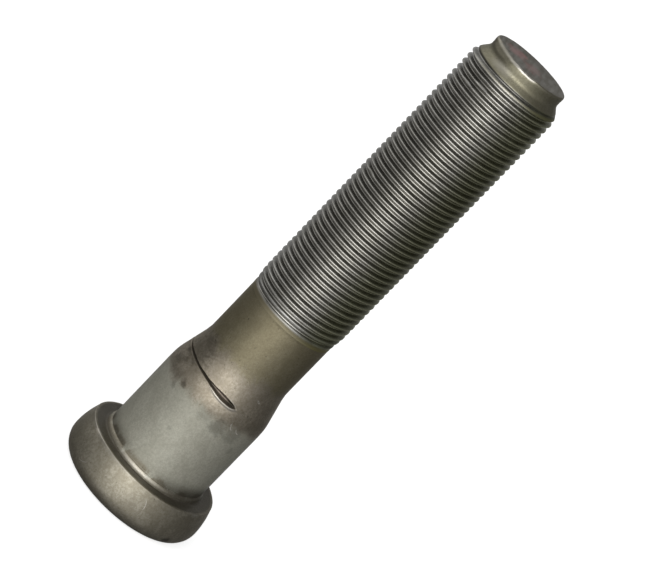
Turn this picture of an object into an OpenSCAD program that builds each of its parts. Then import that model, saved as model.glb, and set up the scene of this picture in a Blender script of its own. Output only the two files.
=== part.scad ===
// Wheel bolt: a press-in wheel stud with a round button head, a fitted shoulder, a tapered
// reduction to the shank, a long fine thread and a turned guide point. It stands on its head,
// with the origin at the middle of the head's flat end and +Z along the axis to the guide point.

/* [Head] */
// Largest diameter of the head
head_d = 34.4; // [33:0.1:40]
// Height of the head, from its flat end to its under-face
head_h = 9.7; // [8:0.1:14]
// Diameter of the flat on the head's end
head_flat_d = 27.8; // [20:0.1:31]
// Height above the flat end at which the head is widest
head_wide_z = 3.7; // [1:0.1:7]
// Diameter of the sharp edge round the under-face
head_edge_d = 32.3; // [28:0.1:33]

/* [Shoulder] */
// Diameter of the fitted shoulder
shoulder_d = 25; // [24:0.1:26]
// Length of the shoulder, from the under-face to where it begins to taper
shoulder_l = 19.6; // [18:0.1:21]
// Reach of the collar at the foot of the shoulder, out from the shoulder
collar_w = 0.5; // [0.2:0.1:1]
// Height of that collar
collar_h = 1.2; // [0.5:0.1:2]

/* [Taper] */
// Angle between the taper and the axis
taper_angle = 13.4; // [11:0.1:16]
// Radius of the round where the shoulder turns into the taper
taper_top_r = 13.5; // [5:0.5:15]
// Radius of the hollow where the taper runs into the shank
taper_foot_r = 10; // [5:0.5:15]

/* [Slit] */
// Height of the slit above the under-face, where it faces -Y
slit_z = 24.5; // [24:0.1:25]
// Slope of the slit, which climbs towards -X
slit_slope = 5; // [0:0.1:8]
// Width of its long narrow part
narrow_w = 0.7; // [0.4:0.05:1]
// Depth of the narrow part
narrow_depth = 0.9; // [0.5:0.05:1.3]
// Direction of the middle of the narrow part, round the axis from -Y towards +X
narrow_dir = -44; // [-90:1:0]
// Angle from that middle to either end of the narrow part
narrow_reach = 68; // [40:1:80]
// Width of its short wide end
wide_w = 1.5; // [1:0.05:2]
// Depth of the wide end
wide_depth = 1.15; // [0.6:0.05:1.5]
// Direction of the middle of the wide end, round the axis from -Y towards +X
wide_dir = 7; // [-10:1:30]
// Angle from that middle to either tip of the wide end
wide_reach = 17; // [12:1:30]

/* [Shank and thread] */
// Diameter of the plain shank
shank_d = 21; // [20.8:0.1:21.4]
// Outer diameter of the thread
thread_d = 22; // [21.8:0.1:22.4]
// Pitch of the thread
pitch = 1.5; // [1.5:0.25:2]
// Height above the under-face at which the thread starts
thread_start = 43.4; // [40:0.1:46]
// Height above the under-face at which the thread ends
thread_end = 111.5; // [90:0.1:112]
// Length over which the thread rises out of the shank to its full height
runout_l = 5; // [2:0.5:6]
// Angle between the chamfer at the thread's end and the axis
chamfer_angle = 32; // [25:1:45]
// Direction in which the thread starts, round the axis from +X towards +Y
start_dir = 232; // [0:1:359]
// Flat facets in one turn of the thread
turn_facets = 24; // [16:1:26]

/* [Guide point] */
// Diameter of the guide point
point_d = 18; // [17.6:0.1:18.4]
// Length from the thread's end to the end of the guide point
point_l = 3.85; // [3.5:0.05:6]
// Angle between the cone that leads from the thread to the guide point and the axis
point_cone_angle = 39; // [36:1:45]
// Radius of the hollow between that cone and the guide point
point_hollow_r = 1.5; // [1:0.1:1.7]
// Rounding of the guide point's end edge
point_edge_r = 0.35; // [0.2:0.05:0.6]

/* [Hidden] */

// Facets of a turned surface, and the angle that one step of a drawn arc covers
ROUND = 144;
ARC_STEP = 6;

head_r = head_d / 2;
head_flat_r = head_flat_d / 2;
head_edge_r = head_edge_d / 2;
shoulder_r = shoulder_d / 2;
shank_r = shank_d / 2;
thread_r = thread_d / 2;
point_r = point_d / 2;

// Heights above the head's flat end
shoulder_top = head_h + shoulder_l;
thread_foot = head_h + thread_start;
thread_top = head_h + thread_end;
bolt_l = thread_top + point_l;

// Points along an arc of an ellipse, from angle a0 to angle a1
function arc(centre, size, a0, a1) =
    let (steps = max(2, ceil(abs(a1 - a0) / ARC_STEP)))
    [for (i = [0 : steps])
        let (a = a0 + (a1 - a0) * i / steps)
        [centre.x + size.x * cos(a), centre.y + size.y * sin(a)]];

// Basic profile of a 60 degree metric thread
flank_angle = 30;
sharp_h = pitch / 2 / tan(flank_angle);
thread_depth = 17 / 24 * sharp_h;
crest_w = pitch / 8;
flank_w = thread_depth * tan(flank_angle);
root_w = pitch - crest_w - 2 * flank_w;
root_r = thread_r - thread_depth;

// The facets of the rod start this far below the shank, and its root this far below the
// cylinder that leads into the guide point, so that no two surfaces coincide
SINK = 0.05;
// Radius of the core inside the threaded rod
core_r = root_r - 1;

// Outline of the head, with a rounded end and a side that draws in to a sharp edge
function head_side(steps) =
    [for (i = [0 : steps])
        let (u = i / steps)
        [head_r + (head_edge_r - head_r) * u * u, head_wide_z + (head_h - head_wide_z) * u]];
head_outline = concat(
    [[0, 0]],
    arc([head_flat_r, head_wide_z], [head_r - head_flat_r, head_wide_z], -90, -ARC_STEP),
    head_side(8));

collar_outline =
    arc([shoulder_r + collar_w, head_h + collar_h], [collar_w, collar_h], 270, 180);

// Outline of the taper: a round, a straight stretch and a hollow, each tangent to the next
taper_arcs_r = taper_top_r + taper_foot_r;
taper_straight_drop = shoulder_r - shank_r - taper_arcs_r * (1 - cos(taper_angle));
taper_l = taper_arcs_r * sin(taper_angle) + taper_straight_drop / tan(taper_angle);
taper_end = shoulder_top + taper_l;
taper_outline = concat(
    arc([shoulder_r - taper_top_r, shoulder_top], [taper_top_r, taper_top_r], 0, taper_angle),
    arc([shank_r + taper_foot_r, taper_end], [taper_foot_r, taper_foot_r],
        180 + taper_angle, 180));

// Outline of the shank, and of the core that carries on from it inside the threaded rod
shank_outline = [[shank_r, thread_foot], [core_r, thread_foot], [core_r, thread_top - pitch / 2]];

// Outline of the guide point: a cylinder that closes the thread's last groove, a cone, a
// hollow and the plain point with a rounded end
lead_r = root_r + SINK;
hollow_centre = [point_r + point_hollow_r,
    thread_top + point_hollow_r * sin(point_cone_angle)
    + (lead_r - point_r - point_hollow_r * (1 - cos(point_cone_angle))) / tan(point_cone_angle)];
point_outline = concat(
    [[lead_r, thread_top - pitch / 2], [lead_r, thread_top]],
    arc(hollow_centre, [point_hollow_r, point_hollow_r], 180 + point_cone_angle, 180),
    arc([point_r - point_edge_r, bolt_l - point_edge_r], [point_edge_r, point_edge_r], 0, 90),
    [[0, bolt_l]]);

module turned_blank() {
    color("dimgray")
        rotate_extrude($fn = ROUND)
            polygon(concat(head_outline, collar_outline, taper_outline, shank_outline,
                point_outline));
}

// Radius of the taper's straight stretch at the slit
slit_r = shoulder_r - taper_top_r * (1 - cos(taper_angle))
    - (slit_z - shoulder_l - taper_top_r * sin(taper_angle)) * tan(taper_angle);

// A V-shaped ring that stands off centre, so that its edge sinks into the bolt in one
// direction and comes out again on both sides: the cut runs out to a point at each end
module slit_cutter(width, depth, direction, reach) {
    offcentre = depth / (1 - cos(reach));
    edge_r = slit_r - depth + offcentre;
    floor_w = width / 4;
    ring_w = 3;
    ring_rise = ring_w * (width - floor_w) / 2 / depth;
    rotate([0, 0, direction])
        translate([0, offcentre, 0])
            rotate_extrude($fn = 2 * ROUND)
                polygon([[edge_r, -floor_w / 2], [edge_r, floor_w / 2],
                    [edge_r + ring_w, floor_w / 2 + ring_rise],
                    [edge_r + ring_w, -floor_w / 2 - ring_rise]]);
}

module slit() {
    translate([0, 0, head_h + slit_z])
        rotate([0, slit_slope, 0]) {
            slit_cutter(narrow_w, narrow_depth, narrow_dir, narrow_reach);
            slit_cutter(wide_w, wide_depth, wide_dir, wide_reach);
        }
}

// Height above the thread's start, and radius, of the four corners of one pitch
thread_corners = [
    [root_w / 2, root_r],
    [root_w / 2 + flank_w, thread_r],
    [root_w / 2 + flank_w + crest_w, thread_r],
    [pitch - root_w / 2, root_r]];

// The thread grows out of the shank over the run-out, and the chamfer cuts it down at its end.
// Past that it dives into the guide point.
function smooth(u) = let (v = min(1, max(0, u))) v * v * (3 - 2 * v);
function chamfer_r(z) =
    z < thread_top ? root_r + (thread_top - z) * tan(chamfer_angle) : root_r - 2 * (z - thread_top);
function thread_at(r, z) =
    let (shank_facet_r = shank_r - SINK, share = smooth((z - thread_foot) / runout_l))
    min(shank_facet_r + (r - shank_facet_r) * share, chamfer_r(z));

// Turns of the rod, which reach past the thread's end, and how closely the hidden ones stand
rod_turns = ceil((thread_top - thread_foot) / pitch);
hidden_scale = 0.2;
function packed(z) = z < thread_top ? z : thread_top + (z - thread_top) * hidden_scale;

// One column of the rod's points: a foot inside the shank, the corners of every pitch, lifted
// by the helix, and a top inside the guide point
last_corner = 4 * rod_turns - 1;
function column_point(i, r, z) = let (a = 360 * i / turn_facets) [r * cos(a), r * sin(a), z];
function column(i) = concat(
    [column_point(i, shank_r - SINK, thread_foot - pitch / 2)],
    [for (turn = [0 : rod_turns - 1], corner = thread_corners)
        let (z = packed(thread_foot + pitch * (i / turn_facets + turn) + corner.x))
        column_point(i, thread_at(corner.y, z), z)],
    [column_point(i, core_r, thread_top + 3 * pitch * hidden_scale)]);

// Places of a column's foot, corners and top in the list of points
function foot(i) = i * (last_corner + 3);
function corner(i, c) = foot(i) + 1 + c;
function top(i) = corner(i, last_corner + 1);

// Faces between two columns. The seam joins the last column to the first, whose corners are
// one whole pitch, or four corners, further on
function strip(i, j, step) = concat(
    [for (c = [0 : last_corner - 1 - step])
        each [[corner(i, c), corner(i, c + 1), corner(j, c + 1 + step)],
              [corner(i, c), corner(j, c + 1 + step), corner(j, c + step)]]],
    [[foot(i), corner(i, 0), corner(j, step)],
     [corner(i, last_corner), top(i), top(j)],
     [corner(i, last_corner), top(j), corner(j, last_corner)],
     [foot(i), corner(j, 0), foot(j)]],
    step == 0 ? [] : [for (c = [0 : step - 1]) [foot(i), corner(j, c + 1), corner(j, c)]],
    step == 0 ? [] : [for (c = [last_corner - step : last_corner - 1])
        [corner(i, c), corner(i, c + 1), corner(j, last_corner)]]);

module thread() {
    last = turn_facets - 1;
    color("gray")
        rotate([0, 0, start_dir])
            polyhedron(
                [for (i = [0 : last]) each column(i)],
                concat(
                    [for (i = [0 : last - 1]) each strip(i, i + 1, 0)],
                    strip(last, 0, 4),
                    [[for (i = [0 : last]) foot(i)], [for (i = [0 : last]) top(last - i)]]));
}

module wheel_bolt() {
    difference() {
        turned_blank();
        slit();
    }
    thread();
}

wheel_bolt();
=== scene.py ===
"""Dressed model of a wheel bolt: its worn steel body, the finishes of its surfaces, and a plain
studio with the camera."""
import math

import bpy
from bpy.props import FloatProperty, FloatVectorProperty, IntProperty, PointerProperty
from bpy.types import Operator, Panel, PropertyGroup
from mathutils import Matrix, Vector, noise


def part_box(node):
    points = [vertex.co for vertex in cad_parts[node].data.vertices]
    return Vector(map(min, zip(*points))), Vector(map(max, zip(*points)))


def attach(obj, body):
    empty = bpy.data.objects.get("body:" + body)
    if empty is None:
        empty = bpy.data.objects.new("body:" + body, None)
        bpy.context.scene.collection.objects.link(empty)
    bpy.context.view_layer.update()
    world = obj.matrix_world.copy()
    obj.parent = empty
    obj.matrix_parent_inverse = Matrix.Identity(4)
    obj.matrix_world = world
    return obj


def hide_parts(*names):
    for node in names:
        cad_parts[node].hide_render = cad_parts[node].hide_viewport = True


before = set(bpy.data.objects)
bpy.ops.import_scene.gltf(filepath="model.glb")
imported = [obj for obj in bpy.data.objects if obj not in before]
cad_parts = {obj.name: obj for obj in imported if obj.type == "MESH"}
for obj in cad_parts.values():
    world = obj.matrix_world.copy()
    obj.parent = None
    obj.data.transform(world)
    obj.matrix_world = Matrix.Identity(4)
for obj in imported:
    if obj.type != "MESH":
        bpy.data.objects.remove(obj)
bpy.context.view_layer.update()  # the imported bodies, nodes and record that everything here is built round

bl_info = {
    "name": "Wheel bolt",
    "version": (1, 0, 0),
    "blender": (4, 5, 0),
    "location": "3D View > Sidebar > Wheel bolt",
    "description": "Builds a press-in wheel bolt with a rolled thread, its finishes and a studio",
    "category": "Add Mesh",
}

NODE = "wheel_bolt"
BODY = "root"
MM = 0.001
BOLT_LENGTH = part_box(NODE)[1].z
PICTURE_SIZE = (650, 585)
SENSOR_WIDTH = 36.0  # of the camera, in mm
WHITE = (1.0, 1.0, 1.0)


def length(name, description, default):
    """A size, given in millimetres and kept in metres."""
    return FloatProperty(name=name, description=description, default=default * MM, min=0.0,
                         precision=5, unit="LENGTH", subtype="DISTANCE")


def angle(name, description, default):
    """An angle, given in degrees and kept in radians."""
    return FloatProperty(name=name, description=description, default=math.radians(default),
                         unit="ROTATION", subtype="ANGLE")


def colour(name, description, default):
    """A linear colour."""
    return FloatVectorProperty(name=name, description=description, default=default, size=3,
                               min=0.0, max=1.0, subtype="COLOR")


def factor(name, description, default):
    """A share from 0 to 1."""
    return FloatProperty(name=name, description=description, default=default, min=0.0, max=1.0,
                         subtype="FACTOR")


class BoltShape(PropertyGroup):
    """Sizes of the bolt. Heights are above the flat end of the head, on which it stands."""

    head_d: length("Head diameter", "Largest diameter of the head", 34.4)
    head_h: length("Head height", "Height of the under-face", 9.7)
    head_flat_d: length("Head flat", "Diameter of the flat on the head's end", 27.8)
    head_wide_z: length("Head's widest height", "Height at which the head is widest", 3.7)
    head_edge_d: length("Under-face edge", "Diameter of the edge round the under-face", 32.3)
    head_edge_r: length("Edge rounding", "Rounding of the edge round the under-face", 0.16)
    shoulder_d: length("Shoulder diameter", "Diameter of the fitted shoulder", 25.0)
    shoulder_top: length("Shoulder top", "Height at which the taper begins", 29.3)
    collar_w: length("Collar width", "Reach of the collar out from the shoulder", 0.5)
    collar_h: length("Collar height", "Height of the collar at the shoulder's foot", 1.2)
    taper_angle: angle("Taper angle", "Angle between the taper and the axis", 13.4)
    taper_top_r: length("Taper round", "Radius of the round above the shoulder", 13.5)
    taper_foot_r: length("Taper hollow", "Radius of the hollow below the shank", 10.0)
    shank_d: length("Shank diameter", "Diameter of the plain shank", 21.0)
    thread_d: length("Thread diameter", "Outer diameter of the thread", 22.0)
    pitch: length("Pitch", "Distance from one ridge of the thread to the next", 1.5)
    thread_start: length("Thread start", "Height at which the thread starts", 53.1)
    thread_end: length("Thread end", "Height at which the thread ends", 121.2)
    runout: length("Run-out", "Length over which the ridges rise to full height", 5.0)
    groove_in: length("Groove run-in", "Length over which the grooves reach full depth", 2.0)
    chamfer_angle: angle("Chamfer angle", "Angle of the chamfer at the thread's end", 32.0)
    start_dir: angle("Thread direction", "Direction from +X in which the first groove starts", 232)
    point_d: length("Guide point diameter", "Diameter of the guide point", 18.0)
    point_cone: angle("Guide cone", "Angle between the guide cone and the axis", 39.0)
    point_hollow_r: length("Guide hollow", "Radius of the hollow under the guide point", 1.5)
    point_edge_r: length("Guide edge", "Rounding of the guide point's end edge", 0.35)
    slit_z: length("Slit height", "Height of the slit where it faces -Y", 34.17)
    slit_rise: length("Slit rise", "Climb of the slit from -Y to -X", 1.0)
    slit_depth: length("Slit depth", "Depth of the slit beside its walls", 1.1)
    slit_width: length("Slit width", "Greatest width of the slit", 1.38)
    lip_h: length("Lip height", "Height of the burr along the slit", 0.12)
    facets: IntProperty(name="Facets", description="Facets of the thread in one turn", default=96,
                        min=24, max=128)


class BoltFinish(PropertyGroup):
    """Colours and gloss of the bolt's surfaces."""

    head_colour: colour("Head", "Brown-grey of the forged head", (0.50, 0.465, 0.375))
    shoulder_colour: colour("Shoulder", "Green-grey of the ground shoulder", (0.575, 0.567, 0.478))
    taper_colour: colour("Taper", "Warm grey of the drawn-in taper", (0.52, 0.465, 0.375))
    shank_colour: colour("Shank", "Olive brown of the plain shank", (0.40, 0.355, 0.235))
    point_colour: colour("Guide point", "Olive grey of the guide point", (0.37, 0.35, 0.255))
    thread_colour: colour("Thread", "Grey of the rolled thread", (0.578, 0.575, 0.548))
    # Colour of knocks and scratches rubbed bare, and of painted highlights on the collar, the under-face's
    # edge, the thread, the slit's lip and the guide point
    bright_colour: colour("Bare steel", "Rubbed ridges, lips and knocks", (0.80, 0.765, 0.69))
    # Colour of dark pits and smudges, and of the painted shade in corners, recesses and grooves and the
    # painted shadow by the collar
    dirt_and_shade_colour: colour("Grime", "Oily dirt in corners and patches", (0.07, 0.062, 0.045))
    scale_colour: colour("Scale", "Brown scale inside the slit", (0.36, 0.30, 0.245))
    end_colour: colour("End face", "Grey of the cropped end face", (0.31, 0.295, 0.255))
    rust_colour: colour("Rust", "Reddish stains on the end face", (0.50, 0.28, 0.26))
    shoulder_rough: factor("Shoulder roughness", "Roughness of the ground shoulder", 0.44)
    forged_rough: factor("Forged roughness", "Roughness of the head, taper and shank", 0.42)
    thread_rough: factor("Thread roughness", "Roughness of the rolled thread", 0.27)


class StudioLook(PropertyGroup):
    """Camera, floor and light."""

    lens: FloatProperty(name="Focal length", description="Focal length of the camera in mm",
                        default=158.17, min=1.0, unit="CAMERA")
    distance: length("Distance", "Distance from the camera to the under-face", 598.8)
    tilt: angle("Tilt", "How far the camera looks down on the standing bolt", 16.79)
    turn: angle("Turn", "Angle of the bolt's axis in the picture", 45.99)
    anchor: FloatVectorProperty(name="Anchor", size=2, default=(154.6, 457.74),
                                description="Pixel at which the middle of the under-face shows")
    floor_colour: colour("Floor", "Pale floor", (0.8, 0.8, 0.8))
    floor_glow: factor("Floor glow", "Light that the floor itself gives", 0.75)
    floor_size: length("Floor size", "Side of the square floor", 6000.0)
    light: FloatProperty(name="Light", description="Strength of all the studio's lamps",
                         default=1.0, min=0.0)


# Plain helpers


def smooth(x):
    """Smooth step from 0 to 1."""
    x = min(1.0, max(0.0, x))
    return x * x * (3.0 - 2.0 * x)


def fade_in(x, start, over):
    """0 up to the start, then a smooth rise to 1."""
    return smooth((x - start) / over)


def fade_out(x, end, over):
    """1 at first, then a smooth fall to 0 at the end."""
    return smooth((end - x) / over)


def hump(x, middle, reach):
    """Smooth hump that is 1 in the middle and 0 at its reach on either side."""
    return smooth(1.0 - abs(x - middle) / reach)


def through(knots, x):
    """Height at x of a smooth curve through (x, height) knots."""
    if x <= knots[0][0]:
        return knots[0][1]
    for (x0, y0), (x1, y1) in zip(knots, knots[1:]):
        if x <= x1:
            return y0 + (y1 - y0) * smooth((x - x0) / (x1 - x0))
    return knots[-1][1]


def arc(centre, size, start, end, steps):
    """Points of an ellipse's arc as (height, radius), with angles in degrees from outward."""
    angles = [math.radians(start + (end - start) * i / steps) for i in range(steps + 1)]
    return [(centre[0] + size[0] * math.sin(a), centre[1] + size[1] * math.cos(a))
            for a in angles]


def evenly(start, end, steps):
    """Evenly spaced values from start to end, without the first."""
    return [start + (end - start) * i / steps for i in range(1, steps + 1)]


def line(start, end, steps):
    """Points of a straight stretch, without its first."""
    return list(zip(*(evenly(a, b, steps) for a, b in zip(start, end))))


def outward(direction):
    """Unit vector away from the axis. Directions go from -Y towards +X, in degrees."""
    a = math.radians(direction)
    return Vector((math.sin(a), -math.cos(a), 0.0))


def on_bolt(direction, z, r):
    """Place at a direction, a height and a radius."""
    return outward(direction) * r + Vector((0.0, 0.0, z))


def wrapped(direction):
    """The same direction between -180 and 180 degrees."""
    return (direction + 180.0) % 360.0 - 180.0


# The bolt's outline, in millimetres


GROOVE_SHARE = 17 / 24 * math.sqrt(3) / 2  # depth of a metric thread's groove, in pitches
END_RINGS = (0.25, 0.5, 0.75, 0.93)  # rings of the head's end, as shares of its flat
FACE_RINGS = (0.92, 0.85, 0.75, 0.62, 0.48, 0.32, 0.16)  # rings of the guide point's end face
POINT_BORDER = (8.0, 4.0)  # how far below the thread's end the point's colour begins and is full


class Outline:
    """The bolt's sizes as plain numbers, and the outlines that follow from them."""

    def __init__(self, shape):
        for key in BoltShape.__annotations__:
            value = getattr(shape, key)
            is_size = not isinstance(value, int) and not key.endswith(("angle", "dir", "cone"))
            setattr(self, key, value / MM if is_size else value)
        self.length = BOLT_LENGTH / MM
        self.groove = GROOVE_SHARE * self.pitch
        self.root_r = self.thread_d / 2 - self.groove
        self.point_border = tuple(self.thread_end - below for below in POINT_BORDER)

    def taper_radius(self, z):
        """Radius of the shoulder, the taper with its round and hollow, and the shank."""
        top, foot, slope = self.shoulder_d / 2, self.shank_d / 2, self.taper_angle
        straight = top - foot - (self.taper_top_r + self.taper_foot_r) * (1 - math.cos(slope))
        round_h, hollow_h = (r * math.sin(slope) for r in (self.taper_top_r, self.taper_foot_r))
        up = z - self.shoulder_top
        down = round_h + hollow_h + straight / math.tan(slope) - up
        if up <= 0:
            return top
        if down <= 0:
            return foot
        if up < round_h:
            return top - self.taper_top_r + math.sqrt(self.taper_top_r ** 2 - up ** 2)
        if down < hollow_h:
            return foot + self.taper_foot_r - math.sqrt(self.taper_foot_r ** 2 - down ** 2)
        return (foot + self.taper_foot_r * (1 - math.cos(slope))
                + (down - hollow_h) * math.tan(slope))

    def head(self):
        """The head from its flat end to its under-face, then the collar."""
        flat, wide, edge = self.head_flat_d / 2, self.head_d / 2, self.head_edge_d / 2
        end = [(0.0, flat * share) for share in END_RINGS]
        corner = arc((self.head_wide_z, flat), (self.head_wide_z, wide - flat), -90, 0, steps=16)
        rise = self.head_h - self.head_edge_r - self.head_wide_z
        side = [(self.head_wide_z + rise * u, wide + (edge - wide) * u * u)
                for u in evenly(0.0, 1.0, steps=10)]
        rim = arc((self.head_h - self.head_edge_r, edge - self.head_edge_r),
                  (self.head_edge_r, self.head_edge_r), 22.5, 90, steps=3)
        foot = self.shoulder_d / 2 + self.collar_w
        under_face = line(rim[-1], (self.head_h, foot), steps=5)
        collar = arc((self.head_h, self.shoulder_d / 2), (self.collar_h, self.collar_w), 10, 90,
                     steps=8)
        return end + corner + side + rim + under_face + collar

    def point(self):
        """The guide point from the thread's end to its end face."""
        r, hollow, slope = self.point_d / 2, self.point_hollow_r, self.point_cone
        drop = self.root_r - r - hollow * (1 - math.cos(slope))
        hollow_z = self.thread_end + drop / math.tan(slope) + hollow * math.sin(slope)
        dip = arc((hollow_z, r + hollow), (hollow, hollow), 180 + math.degrees(slope), 180, steps=8)
        edge = self.point_edge_r
        rim = arc((self.length - edge, r - edge), (edge, edge), 0, 90, steps=5)
        face = [(self.length, r * share) for share in FACE_RINGS]
        return (line((self.thread_end, self.root_r), dip[0], steps=4) + dip[1:]
                + line(dip[-1], rim[0], steps=6)[:-1] + rim + face)


# The slit. Its middle line runs from a wide pointed end, across -Y, to a narrow tail at -X


SLIT_WIDTHS = ((-118, 0.0), (-98, 0.40), (-36, 0.40), (-19, 0.43), (-6, 0.66), (1, 0.88), (7, 1.0),
               (13, 0.93), (18, 0.82), (22, 0.58), (26, 0.0))  # direction, share of the width
SLIT_FLOOR = ((0.0, 0.42), (0.36, 1.0), (0.5, 1.0))  # row, share of the depth
SLIT_SHADE = ((0.0, 0.0), (0.22, 0.2), (0.36, 1.0))  # row, share of painted shade
LOWER_LIP = ((-12, 0.0), (2, 1.0), (23, 1.0), (29, 0.0))  # direction, share of the lip's height
UPPER_LIP = ((10, 0.0), (18, 1.0), (25, 1.0), (28, 0.0))
UPPER_LIP_SHARE, PLAIN_LIP_SHARE = 0.5, 0.15  # heights beside that of the lower lip
NARROW_SHARE, NARROW_FLOOR = 0.5, 0.3  # where the slit is narrow, less of the floor's ridge is left
TEAR_FINENESS, TEAR_WIDTH, TEAR_SHIFT = 9.0, 0.35, 0.07  # of the narrow part's torn edges
LEAST_WIDTH = 0.12  # of the rows where the slit has ended
EDGE_ROW = 0.5  # the slit's edges lie on the rows 0.5 and -0.5
OUTSIDE_ROWS = (4.0, 3.4, 2.9, 2.5, 2.15, 1.85, 1.6, 1.4, 1.24, 1.1, 0.98, 0.87, 0.78, 0.7, 0.63,
                0.57, 0.52, 0.5)
INSIDE_ROWS = (0.46, 0.40, 0.32, 0.22, 0.11)
SLIT_ROWS = ([-t for t in OUTSIDE_ROWS + INSIDE_ROWS] + [0.0]
             + [*(OUTSIDE_ROWS + INSIDE_ROWS)[::-1]])


def slit_point(bolt, direction, t):
    """Height, radius and masks of the taper on row t of the slit."""
    turned = wrapped(direction)
    share = through(SLIT_WIDTHS, turned)
    torn = noise.noise(outward(turned) * TEAR_FINENESS) * fade_out(turned, end=-4, over=14)
    width = max(share * bolt.slit_width * (1.0 + TEAR_WIDTH * torn), LEAST_WIDTH)
    opened = fade_in(share, start=0, over=0.3)
    centre = bolt.slit_z - bolt.slit_rise * outward(turned).x + TEAR_SHIFT * torn
    away = abs(t) - EDGE_ROW
    if away <= 0:
        z = centre + t * width
    else:
        z = centre + math.copysign(width / 2 + away, t)
        z += fade_in(away, start=0, over=OUTSIDE_ROWS[0] - EDGE_ROW) * (bolt.slit_z + t - z)
    inside = opened * fade_out(away, end=0, over=0.08)
    wall = fade_out(away, end=0, over=0.1)
    floor = through(SLIT_FLOOR, abs(t))
    if share <= NARROW_SHARE:
        floor = 1.0 - (1.0 - floor) * NARROW_FLOOR
    lower, upper = through(LOWER_LIP, turned), through(UPPER_LIP, turned)
    lips = (lower * hump(t, middle=-0.62, reach=0.5)
            + UPPER_LIP_SHARE * upper * hump(t, middle=0.62, reach=0.2)
            + PLAIN_LIP_SHARE * opened * hump(abs(t), middle=0.6, reach=0.3))
    r = bolt.taper_radius(z) - bolt.slit_depth * opened * wall * floor + bolt.lip_h * lips
    # Bright lips: a burnished burr given a painted highlight, which below the slit spreads out over the
    # taper
    bare = max(lower * fade_in(t, start=-1.35, over=0.85) if t < 0 else 0.0,
               0.6 * upper * hump(t, middle=0.6, reach=0.3))
    # Painted shade inside the slit: along its walls, over its narrow part and towards its wide pointed end
    hole = fade_in(turned, start=10, over=7)
    dark = inside * max(hole, through(SLIT_SHADE, abs(t)), fade_out(share, end=0.75, over=0.2))
    return z, r, {"scale": inside, "grime": dark, "bare": 0.6 * bare * (1.0 - inside)}


# Knocks: small flats that blows have left


class Knock:
    """A flat, by its direction, height and radius, its upward tilt, its reach and its depth."""

    def __init__(self, direction, z, r, tilt, reach, depth):
        lean = math.radians(tilt)
        self.normal = outward(direction) * math.cos(lean) + Vector((0, 0, math.sin(lean)))
        self.centre = on_bolt(direction, z, r)
        self.reach, self.depth = reach, depth

    def press(self, place):
        """How far a place is pushed in."""
        away = place - self.centre
        over = away.dot(self.normal) + self.depth
        if over <= 0 or away.length > self.reach:
            return 0.0
        return over * smooth(2.0 - 2.0 * away.length / self.reach)


KNOCKS = [Knock(*values) for values in (
    # direction, height and radius, tilt, reach, depth: in degrees and mm
    (-49, 9.7, 16.15, 52, 0.9, 0.20), (-42, 9.7, 16.15, 60, 0.7, 0.10),
    (20, 9.7, 16.15, 45, 1.6, 0.12), (64, 9.7, 16.15, 40, 2.0, 0.20),
    (148, 9.7, 16.15, 45, 2.2, 0.26), (-131, 9.7, 16.15, 50, 1.6, 0.18),
    (24, 3.2, 17.15, -4, 2.4, 0.05), (-100, 5.0, 17.1, 5, 2.6, 0.06),
    (42.5, 37.4, 11.15, 14, 1.0, 0.10), (196, 21.0, 12.5, 0, 2.4, 0.08),
    (-24, 117.0, 11.0, 0, 1.9, 0.30), (-40, 115.4, 11.0, 8, 1.5, 0.22),
    (12, 96.0, 11.0, 0, 1.4, 0.20), (-52, 88.5, 11.0, 0, 1.6, 0.24),
    (31, 72.0, 11.0, 0, 1.3, 0.16), (-8, 61.5, 11.0, 0, 1.2, 0.14),
    (140, 101.0, 11.0, 0, 2.6, 0.28), (205, 78.0, 11.0, 0, 1.8, 0.24),
    (265, 66.0, 11.0, 0, 1.6, 0.20), (100, 110.0, 11.0, 0, 1.5, 0.2))]


# The mesh: rings of points joined by bands of faces


FORGED, THREAD, END = range(3)  # kinds of surface, in the order of their materials
# The masks hold rubbed steel with painted highlights, the crests, painted shade with a painted shadow, the
# rolled thread, the roots and the scale
MASKS = ("bare", "crest", "grime", "rolled", "root", "scale")
LUMPS, RIPPLES, RIPPLE_SHARE = 7.0, 2.4, 0.35  # sizes of the forging's waves, and their mix
BARE_DEPTH = 0.16  # how deep a knock has to be to wear its finish quite off


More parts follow.
